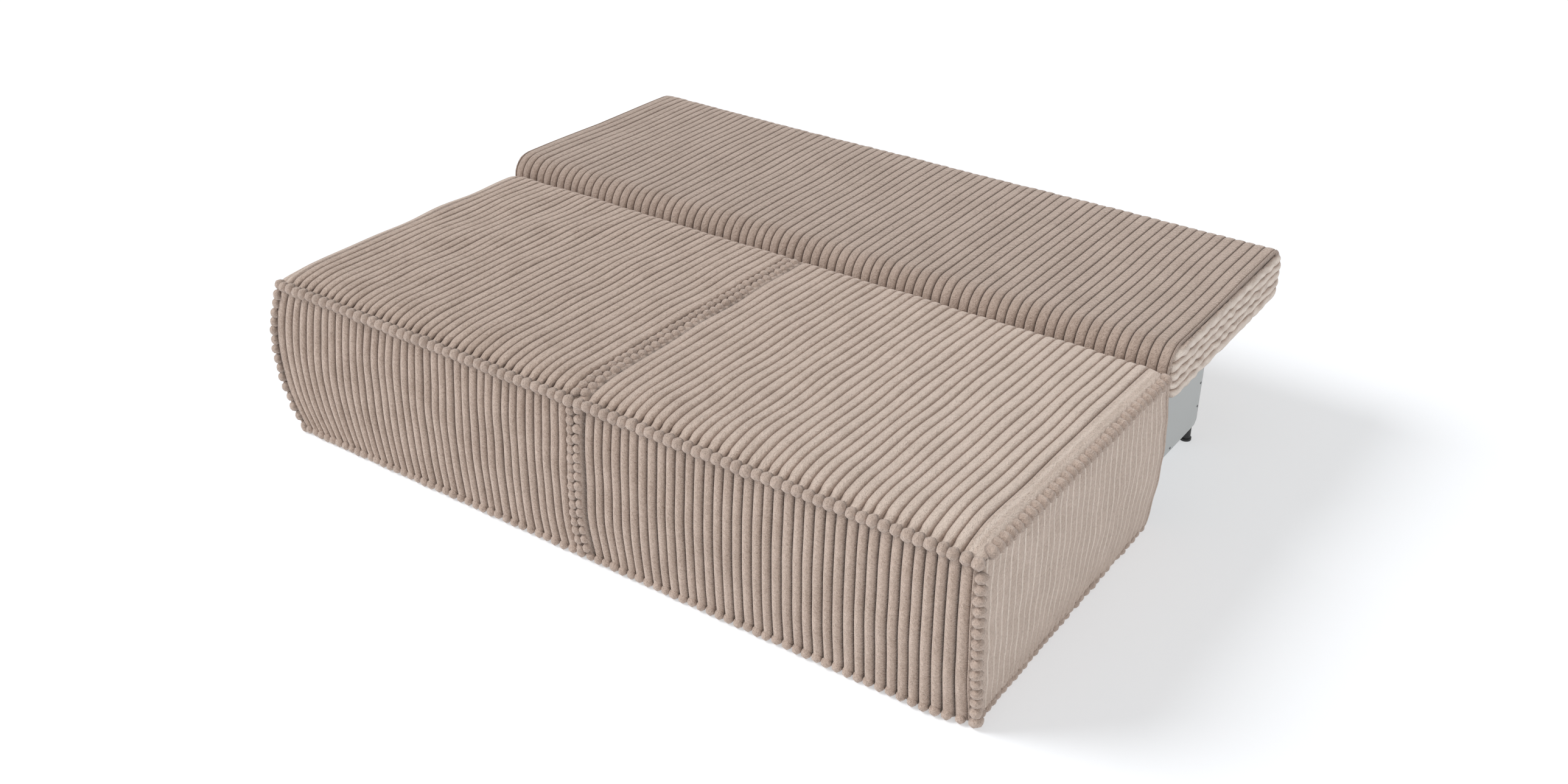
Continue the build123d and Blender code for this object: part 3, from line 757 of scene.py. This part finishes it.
def make_seat_top(side, sign, seed):
    """Seat cushion: cords along the path, lifted along the crown's normal, narrow before their knobs."""
    rng = np.random.default_rng(seed)
    layout = lay_cords(seat_borders[side], HALF_WIDTH)
    y, fall = seat_top_path()
    places = np.maximum(layout["places"], SEAM_GAP)[None, :]
    z = BEAD_HEIGHT + seat_top_height(places, y[:, None]) - fall[:, None]
    base = np.stack([places + 0 * z, y[:, None] + front_line + 0 * z, z], axis=-1)
    normals = grid_normals(base)
    normals *= np.sign(normals[len(y) // 2, places.size // 2, 2])
    walk = np.concatenate([[0], np.cumsum(np.hypot(np.diff(y), np.diff(fall)))])[:, None]
    neck = np.exp(-((walk - NECK_PLACE) / NECK_WIDTH) ** 2)
    height = cord_height(layout, 1 - 0.18 * neck, 2.9)
    ends = quarter(walk, 0.006) * (1 - 0.20 * neck) * quarter(walk[-1] - walk, 0.006)
    rise = TOP_RISE + ROLL_RISE * np.exp(-walk / ROLL_REACH)
    lift = -TOP_SINK - 0.6 * (rise - TOP_RISE) + rise * height * uneven(layout, rng) * ends
    lift = lift + soft_waves(len(y), places.size, rng, TOP_WAVE) * quarter(walk, WAVE_FADE)
    outer = base + lift[..., None] * normals
    outer[..., 0] = np.maximum(outer[..., 0], SEAM_GAP)
    rear = front_line + SEAT_DEPTH - REAR_MARGIN
    back = [(SEAM_GAP, board_face, carcass_top), (side_face, board_face, carcass_top),
            (side_face, rear, carcass_top), (SEAM_GAP, rear, carcass_top)]
    # Painted highlights along a crease line and the outer band near each end of the seat, and painted light
    # rising across the seat towards its right end.
    crease = np.interp(HALF_WIDTH - places, CREASE_PLACES, CREASE_HIGHLIGHTS)
    top_painted_light = TOP_PAINTED_LIGHT * np.clip(0.25 + 0.75 * sign * places, 0, 1)
    tone = pile_tone(layout, height) * (1 - crease) * (1 - top_painted_light) - np.maximum(crease, top_painted_light)
    add_cushion(f"seat_top_{side}", "seat", mirrored(outer, sign), tone, mirrored(back, sign),
                [f"seat_top_cover_{side}", f"seat_rear_cover_{side}", f"seat_foam_{side}"])


for side, sign, seed in (("left", -1, 31), ("right", 1, 32)):
    make_seat_top(side, sign, seed)


# Bead seams. Where two panels of cord are sewn together, each cord ends in a
# round knob of plush: along the top edges, the corners, the middle seam and the hem.
BEAD_COLOUR = (178, 158, 145)
BEAD_STEP = 0.0235
CORNER_STEP = 0.0252
SEAM_OFFSET = 0.0105
HEM_LEVEL = 0.0115
BEAD_RELIEF = 0.0100
FRONT_BEAD = (0.0138, 0.0145, 0.0142)
FRONT_HEM_BEAD = (0.0124, 0.0115, 0.0112)
SIDE_BEAD = (0.0131, 0.0166, 0.0168)
SIDE_HEM_BEAD = (0.0122, 0.0110, 0.0095)
CORNER_BEAD = (0.0133, 0.0142, 0.0135)
SEAM_FRONT_BEAD = (0.0126, 0.0112, 0.0112)
SEAM_TOP_BEAD = (0.0126, 0.0118, 0.0112)
bead_cord = build_cord("bead_cord", BEAD_COLOUR, CORD_LIGHT, CORD_GROOVE_SHADE, BEAD_RELIEF)


def unit_ball(around=10, rings=5, crease=0.05):
    """Points and faces of a creased unit ball: circles of latitude between two poles on its third axis.

    Each point's reach is that of its circle times 1 + crease, or 1 - crease for every second one.
    """
    lat = np.linspace(0, math.pi, rings + 2)[1:-1, None]
    lon = np.linspace(0, 2 * math.pi, around, endpoint=False)[None, :]
    reach = np.sin(lat) * (1 + crease * np.cos(around / 2 * lon))
    body = np.stack([reach * np.cos(lon), reach * np.sin(lon), np.cos(lat) + 0 * lon], axis=-1)
    points = np.concatenate([body.reshape(-1, 3), [[0, 0, 1], [0, 0, -1]]])
    number = np.arange(rings * around).reshape(rings, around)
    after = np.roll(number, -1, axis=1)
    bands = np.stack([number[:-1], number[1:], after[1:], after[:-1]], axis=-1).reshape(-1, 4).tolist()
    top = [(rings * around, a, b) for a, b in zip(number[0], after[0])]
    bottom = [(rings * around + 1, b, a) for a, b in zip(number[-1], after[-1])]
    return points, bands + top + bottom


BALL, BALL_FACES = unit_ball()


def add_beads(name, centres, along, outward, sizes, seed):
    """Chain of beads: unit balls scaled along the chain, across it and outwards, each a bit different."""
    rng = np.random.default_rng(seed)
    centres = np.stack(np.broadcast_arrays(*centres), axis=1)
    count = len(centres)
    along = np.array(along) / np.linalg.norm(along)
    outward = np.array(outward) / np.linalg.norm(outward)
    axes = np.stack([along, np.cross(along, outward), outward])[None, :, :]
    axes = axes * (np.array(sizes) * rng.uniform(0.90, 1.08, (count, 3)))[:, :, None]
    shift = rng.normal(0, 0.0007, (count, 1, 3))
    points = centres[:, None, :] + shift + np.einsum("pk,bkc->bpc", BALL, axes)
    points[..., 2] = np.maximum(points[..., 2], 0.0008)
    faces = [[corner + bead * len(BALL) for corner in face]
             for bead in range(count) for face in BALL_FACES]
    # Painted shade on each bead's inner half, darkest at the pole that faces into the seat.
    tone = np.tile(np.clip(0.38 - 0.70 * BALL[:, 2], 0, 0.85), count)
    piece = add_piece(name, points.reshape(-1, 3), faces, [bead_cord], tone)
    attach(piece, "seat")


for side, sign in (("left", -1), ("right", 1)):
    # Front edge and front hem: one bead at the end of each cord of the front.
    x = np.concatenate([[0.014], front_layouts[side]["middles"],
                        [HALF_WIDTH - (0.003 if sign > 0 else 0.016)]])
    add_beads(f"front_beads_{side}", (sign * x, front_line - 0.0035, BEAD_HEIGHT + 0.0015),
              (1, 0, 0), (0, -0.75, 0.35), FRONT_BEAD, 41 + sign)
    low_x = slanted(x, HEM_LEVEL, 0.0, sign)
    add_beads(f"front_hem_beads_{side}",
              (sign * low_x, front_line + front_reach(HEM_LEVEL, sign * low_x), HEM_LEVEL),
              (1, 0, 0), (0, -1, 0.1), FRONT_HEM_BEAD, 51 + sign)

    # Side edge and side hem: one bead at the end of each cord of the side.
    y = side_layouts[side]["middles"]
    inset, rise = (-0.002, 0.0070) if sign > 0 else (0.008, -0.0090)
    add_beads(f"side_beads_{side}",
              (sign * (HALF_WIDTH - inset), front_line + y, BEAD_HEIGHT - rear_drop(y) + rise),
              (0, 1, 0), (sign * 0.75, -0.2, 0.65), SIDE_BEAD, 61 + sign)
    low_y = (y + (1 - y / SEAT_DEPTH) * front_reach(HEM_LEVEL, sign)
             - side_lean(HEM_LEVEL, y / SEAT_DEPTH))
    low_x = side_reach(HEM_LEVEL, y / SEAT_DEPTH, sign) - 0.003
    add_beads(f"side_hem_beads_{side}", (sign * low_x, front_line + low_y, HEM_LEVEL),
              (0, 1, 0), (sign, 0, 0.1), SIDE_HEM_BEAD, 71 + sign)

    # Front corner, upright.
    z = np.arange(0.018, BEAD_HEIGHT - 0.018, CORNER_STEP)
    inset, behind = (-0.004, -0.001) if sign > 0 else (0.013, 0.002)
    add_beads(f"corner_beads_{side}", (sign * (side_reach(z, 0.0, sign) - inset),
                                       front_line + front_reach(z, sign) + behind, z),
              (0, 0, 1), (sign * 0.7, -0.7, 0), CORNER_BEAD, 81 + sign)

    # Middle seam: a row for each module, up the front and along the top.
    z = np.arange(0.026, BEAD_HEIGHT - 0.016, BEAD_STEP) + (sign + 1) * 0.004
    add_beads(f"middle_front_beads_{side}", (sign * slanted(0.0098, z, 0.0, sign),
                                             front_line + front_reach(z, 0.0) - 0.001, z),
              (0, 0, 1), (sign * 0.25, -1, 0), SEAM_FRONT_BEAD, 91 + sign)
    y = np.arange(0.016, SEAT_DEPTH - 0.030, BEAD_STEP) + (sign + 1) * 0.004
    level = BEAD_HEIGHT + seat_top_height(SEAM_OFFSET, y) - rear_drop(y) + 0.001
    add_beads(f"middle_top_beads_{side}", (sign * SEAM_OFFSET, front_line + y, level),
              (0, 1, 0), (sign * 0.25, 0, 1), SEAM_TOP_BEAD, 101 + sign)


# Back cushion. Foam on a plywood board, wrapped from front to back in the same
# cord; its two ends are closed by panels of five cross cords, folded in at the front.
# The back cushion's cord is a darker copy of the seat cord, as painted shade over the whole cushion; its two
# ends keep the seat cord.
BACK_CREST_SHADED = (160, 140, 127)
BACK_LIGHT_SHADED = (202, 182, 169)
BACK_CORDS = 78
BACK_ROUNDING = 0.056
BACK_CROWN = 0.004
BACK_RISE = 0.0068
BACK_SINK = 0.0045
BACK_ROLL_RISE = 0.0035
BACK_ROWS = 110
BACK_WAVE = 0.0022
REAR_FULLNESS = 0.009
END_CORDS = 5
END_COLUMNS = 130
END_BULGE = 0.008
END_RISE = 0.009
END_WANDER = 0.0030
END_WAVE = 0.0022
back_low, back_high = (np.array(corner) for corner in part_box("back_cover"))
back_top = back_high[2] - BACK_CROWN
back_middle = (back_low + back_high) / 2
back_cord_shaded = build_cord("back_cord_shaded", BACK_CREST_SHADED, BACK_LIGHT_SHADED, CORD_GROOVE_SHADE, PILE_RELIEF)


def rounded_outline(rows):
    """Side view of the back, at even steps round it: a rectangle with round corners and a crowned top."""
    y0, y1, z0, z1 = back_low[1], back_high[1], back_low[2], back_top
    r = BACK_ROUNDING
    points = []
    for cy, cz, turn in ((y1 - r, z1 - r, 0), (y1 - r, z0 + r, 1), (y0 + r, z0 + r, 2), (y0 + r, z1 - r, 3)):
        angle = math.pi / 2 - (turn + np.linspace(0, 1, 12)) * math.pi / 2
        points.append(np.stack([cy + r * np.cos(angle), cz + r * np.sin(angle)], axis=1))
    outline = np.concatenate([*points, points[0][:1]])
    walk = np.concatenate([[0], np.cumsum(np.hypot(*np.diff(outline, axis=0).T))])
    steps = np.linspace(0, walk[-1], rows, endpoint=False)
    y, z = np.interp(steps, walk, outline[:, 0]), np.interp(steps, walk, outline[:, 1])
    share = np.clip((y - y0) / (y1 - y0), 0, 1)
    return y, z + BACK_CROWN * 4 * share * (1 - share) * (z > back_middle[2] + 0.03)


def back_plan(x, y):
    """Plan of the back: towards its left end, by the cube of x, it slants and gets a little deeper."""
    share = np.clip((y - back_low[1]) / (back_high[1] - back_low[1]), 0, 1)
    left = np.clip(-x / back_high[0], 0, None) ** 3
    return x + left * (0.036 * share - 0.015), y + left * 0.012 * share


def make_back(seed):
    """Back cushion: the outline swept across the width, each cord lifted along the outline's normal."""
    rng = np.random.default_rng(seed)
    reach = back_high[0] + 0.001
    layout = lay_cords(cord_borders(BACK_CORDS, 0.004, 2 * reach - 0.004, rng), 2 * reach)
    y, z = rounded_outline(BACK_ROWS)
    tangent = np.stack([np.roll(y, -1) - np.roll(y, 1), np.roll(z, -1) - np.roll(z, 1)], axis=1)
    tangent /= np.linalg.norm(tangent, axis=1, keepdims=True)
    normal = np.stack([-tangent[:, 1], tangent[:, 0]], axis=1)
    from_middle = np.stack([y - back_middle[1], z - back_middle[2]], axis=1)
    normal *= np.sign((from_middle * normal).sum(axis=1).mean())
    x = layout["places"] - reach
    edge = quarter(reach - np.abs(x), 0.009, 2.0)
    height = cord_height(layout, power=3.6)
    rise = BACK_RISE + BACK_ROLL_RISE * np.exp(-(y - back_low[1]) / ROLL_REACH)[:, None]
    wave = soft_waves(BACK_ROWS, len(x), rng, BACK_WAVE)
    row = np.arange(BACK_ROWS)
    seam = np.clip(np.minimum(row, BACK_ROWS - 1 - row) / 8, 0, 1)[:, None]
    fuller = REAR_FULLNESS * np.clip((y - back_middle[1]) / (back_high[1] - back_middle[1]), 0, 1)[:, None]
    lift = fuller - BACK_SINK - 0.6 * (rise - BACK_RISE) + rise * height * uneven(layout, rng)
    lift = lift + wave * seam - 0.004 * (1 - edge)
    plan = back_plan(x + 0 * lift, y[:, None] + lift * normal[:, :1])
    points = np.stack([*plan, z[:, None] + lift * normal[:, 1:]], axis=-1)
    number = np.arange(BACK_ROWS * len(x)).reshape(BACK_ROWS, len(x))
    after = np.roll(number, -1, axis=0)
    grid = np.stack([number[:, :-1], number[:, 1:], after[:, 1:], after[:, :-1]], axis=-1)
    grid = grid.reshape(-1, 4)
    faces = grid.tolist() + [number[:, 0].tolist(), number[::-1, -1].tolist()]
    tone = pile_tone(layout, height) * quarter(reach - np.abs(x), 0.014)
    tone = np.broadcast_to(tone, lift.shape).ravel()
    piece = add_piece("back_cushion", points.reshape(-1, 3), faces, [back_cord_shaded], tone, len(grid))
    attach(piece, "back")
    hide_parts("back_cover", "back_foam")


def make_back_end(side, sign, seed, end_painted_light):
    """End panel: five wavy cross cords over the rounded outline, bulged outwards, closed by a flat back."""
    rng = np.random.default_rng(seed)
    z0, z1 = back_low[2] + 0.001, back_top - 0.004
    width = z1 - z0
    layout = lay_cords(cord_borders(END_CORDS, 0.0, width, rng, 0.10), width)
    r = BACK_ROUNDING - 0.004
    z = (z0 + layout["places"])[:, None]
    past = np.clip(np.maximum(z0 + r - z, z - (z1 - r)), 0, r)
    cut = 0.85 * (r - np.sqrt(r ** 2 - past ** 2))
    share = np.linspace(0, 1, END_COLUMNS)[None, :]
    y0 = back_low[1] + 0.007 + cut * np.where(z < back_middle[2], 0.6, 1)
    y1 = back_high[1] + 0.001 - cut
    y = y0 + share * (y1 - y0)
    near = quarter(np.minimum(share, 1 - share) * (back_high[1] - back_low[1]), 0.030)
    height = cord_height(layout)[:, None]
    rows = len(layout["places"])
    inside = quarter(np.minimum(layout["places"], width - layout["places"]), 0.02)[:, None]
    z = z + soft_waves(rows, END_COLUMNS, rng, END_WANDER, 18.0, 1.6) * inside
    x = back_high[0] - 0.003 + END_BULGE * near + END_RISE * height * (0.4 + 0.6 * near)
    x = x + soft_waves(rows, END_COLUMNS, rng, END_WAVE, 16.0, 3.0) * (0.4 + 0.6 * inside)
    outer = mirrored(np.stack([x, y, z], axis=-1), sign)
    outer[..., 0], outer[..., 1] = back_plan(outer[..., 0], outer[..., 1])
    # Painted highlight on the end panel's crests, stronger on the right end, and painted shade in its
    # grooves, weaker near its edges.
    painted_highlight = end_painted_light + soft_waves(rows, END_COLUMNS, rng, 0.4, 14.0)
    tone = (1 - height) * (0.15 + 0.85 * inside) - np.clip(painted_highlight, 0.1, 1) * height
    inner = back_high[0] - 0.020
    ya, yb, za, zb = back_low[1] + 0.04, back_high[1] - 0.04, back_low[2] + 0.03, back_top - 0.03
    corners = [(inner, ya, za), (inner, yb, za), (inner, yb, zb), (inner, ya, zb)]
    add_cushion(f"back_end_{side}", "back", outer, tone, mirrored(corners, sign), [])


make_back(111)
for side, sign, seed, end_painted_light in (("left", -1, 121, 0.35), ("right", 1, 122, 0.85)):
    make_back_end(side, sign, seed, end_painted_light)


# Studio. Pale floor, soft light from the upper left and a white surround, and
# the camera at the photograph's place, with its slight roll.
FLOOR = (203, 206, 210)
FLOOR_GLOW = 0.42
FLOOR_REACH = 30.0
WORLD_LIGHT = 0.46
FOCAL_LENGTH = 35.06
SENSOR = 36.0
AZIMUTH = math.radians(36.05)
ELEVATION = math.radians(30.30)
ROLL = math.radians(-0.37)
CAMERA_TARGET = Vector((0.1413, front_line + 0.5714, 0.2))
CAMERA_DISTANCE = 3.7182


def add_floor():
    """Large flat pale sheet under the object, lit a little from within so that shadows stay pale."""
    points = [(x * FLOOR_REACH, y * FLOOR_REACH, 0) for x, y in ((-1, -1), (1, -1), (1, 1), (-1, 1))]
    mesh = bpy.data.meshes.new("floor")
    mesh.from_pydata(points, [], [(0, 1, 2, 3)])
    material = new_material("floor_paint", {"Roughness": 0.9, "Base Color": linear(FLOOR),
                                            "Specular IOR Level": 0.1,
                                            "Emission Color": (1, 1, 1, 1),
                                            "Emission Strength": FLOOR_GLOW})[0]
    mesh.materials.append(material)
    floor = bpy.data.objects.new("floor", mesh)
    bpy.context.scene.collection.objects.link(floor)


def add_world():
    """White to the camera and in reflections, plain even light for everything else."""
    world = bpy.data.worlds.new("studio")
    bpy.context.scene.world = world
    world.use_nodes = True
    tree = world.node_tree
    tree.nodes.clear()
    path = tree.nodes.new("ShaderNodeLightPath")
    seen = add_math(tree, "MAXIMUM", add_math(tree, "MAXIMUM", path.outputs["Is Camera Ray"],
                    path.outputs["Is Glossy Ray"]), path.outputs["Is Transmission Ray"])
    even = add_node(tree, "ShaderNodeBackground", {}, {"Color": (1, 1, 1, 1), "Strength": WORLD_LIGHT})
    white = add_node(tree, "ShaderNodeBackground", {}, {"Color": (1, 1, 1, 1), "Strength": 1.0})
    mix = tree.nodes.new("ShaderNodeMixShader")
    output = tree.nodes.new("ShaderNodeOutputWorld")
    tree.links.new(seen, mix.inputs[0])
    tree.links.new(even.outputs[0], mix.inputs[1])
    tree.links.new(white.outputs[0], mix.inputs[2])
    tree.links.new(mix.outputs[0], output.inputs["Surface"])


def add_sun(name, direction, strength, spread):
    """Distant soft lamp shining from a direction."""
    lamp = bpy.data.lights.new(name, "SUN")
    lamp.energy = strength
    lamp.angle = math.radians(spread)
    holder = bpy.data.objects.new(name, lamp)
    holder.matrix_world = Vector(direction).normalized().to_track_quat("Z", "Y").to_matrix().to_4x4()
    bpy.context.scene.collection.objects.link(holder)


def add_camera():
    """Camera looking at its target along the azimuth and elevation, turned by the roll about its axis."""
    back = Vector((math.sin(AZIMUTH) * math.cos(ELEVATION), -math.cos(AZIMUTH) * math.cos(ELEVATION),
                   math.sin(ELEVATION)))
    right = Vector((math.cos(AZIMUTH), math.sin(AZIMUTH), 0))
    up = back.cross(right)
    turned_right = math.cos(ROLL) * right + math.sin(ROLL) * up
    turned_up = -math.sin(ROLL) * right + math.cos(ROLL) * up
    place = CAMERA_TARGET + CAMERA_DISTANCE * back
    lens = bpy.data.cameras.new("camera")
    lens.lens = FOCAL_LENGTH
    lens.sensor_width = SENSOR
    lens.clip_end = 200.0
    camera = bpy.data.objects.new("camera", lens)
    camera.matrix_world = Matrix([(turned_right[i], turned_up[i], back[i], place[i]) for i in range(3)]
                                 + [(0, 0, 0, 1)])
    bpy.context.scene.collection.objects.link(camera)
    bpy.context.scene.camera = camera


add_floor()
add_world()
add_sun("key_light", direction=(-1.0, -0.50, 1.0), strength=2.30, spread=28)
add_sun("fill_light", direction=(0.9, -0.5, 0.6), strength=0.60, spread=60)
add_camera()
bpy.context.scene.view_settings.view_transform = "Standard"
